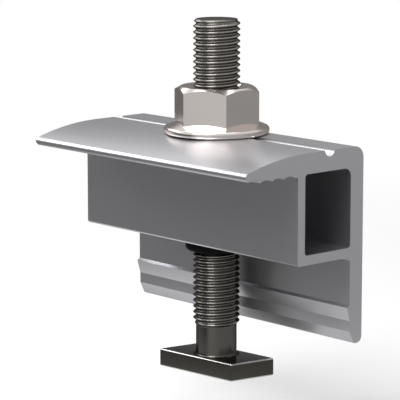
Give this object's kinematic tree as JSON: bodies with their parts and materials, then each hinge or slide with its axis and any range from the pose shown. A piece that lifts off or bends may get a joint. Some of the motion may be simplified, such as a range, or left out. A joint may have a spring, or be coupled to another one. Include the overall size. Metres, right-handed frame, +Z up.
{
  "type": "solar end clamp",
  "caption": "Extruded aluminium end clamp with a serrated lip, held to a slotted rail by a hammer-head bolt, a flange nut and a plastic retaining collar.",
  "frame": {"origin": "on the bolt axis, level with the top of the rail that the foot stands on", "axes": "+X along the extrusion, +Y from the lip towards the back plate, +Z up along the bolt towards its free end"},
  "size_m": [0.053, 0.0269, 0.0607],
  "materials": {
    "aluminium": "satin mill finish",
    "bolt_steel": "dark, lightly oiled steel",
    "nut_steel": "bright stainless steel",
    "collar_plastic": "black moulded plastic"
  },
  "bodies": {
    "clamp": {"clamp_extrusion": "aluminium"},
    "collar": {"retaining_collar": "collar_plastic"},
    "bolt": {"hammer_head_bolt": "bolt_steel"},
    "nut": {"flange_nut": "nut_steel"}
  },
  "joints": [
    {"name": "bolt_turn", "type": "hinge", "parent": "clamp", "child": "collar", "pos_m": [0, 0, 0.0134], "axis": [0, 0, 1], "range_deg": [0, 90]},
    {"name": "bolt_feed", "type": "slide", "parent": "collar", "child": "bolt", "axis": [0, 0, 1], "range_m": [-0.01125, 0.005]},
    {"name": "nut_spin", "type": "hinge", "parent": "collar", "child": "nut", "pos_m": [0, 0, 0.0369], "axis": [0, 0, 1], "range_deg": [-1801, 4051]}
  ],
  "couplings": [
    {"joint": "nut_spin", "follows": "bolt_feed", "rad_per_m": -6283.2}
  ]
}
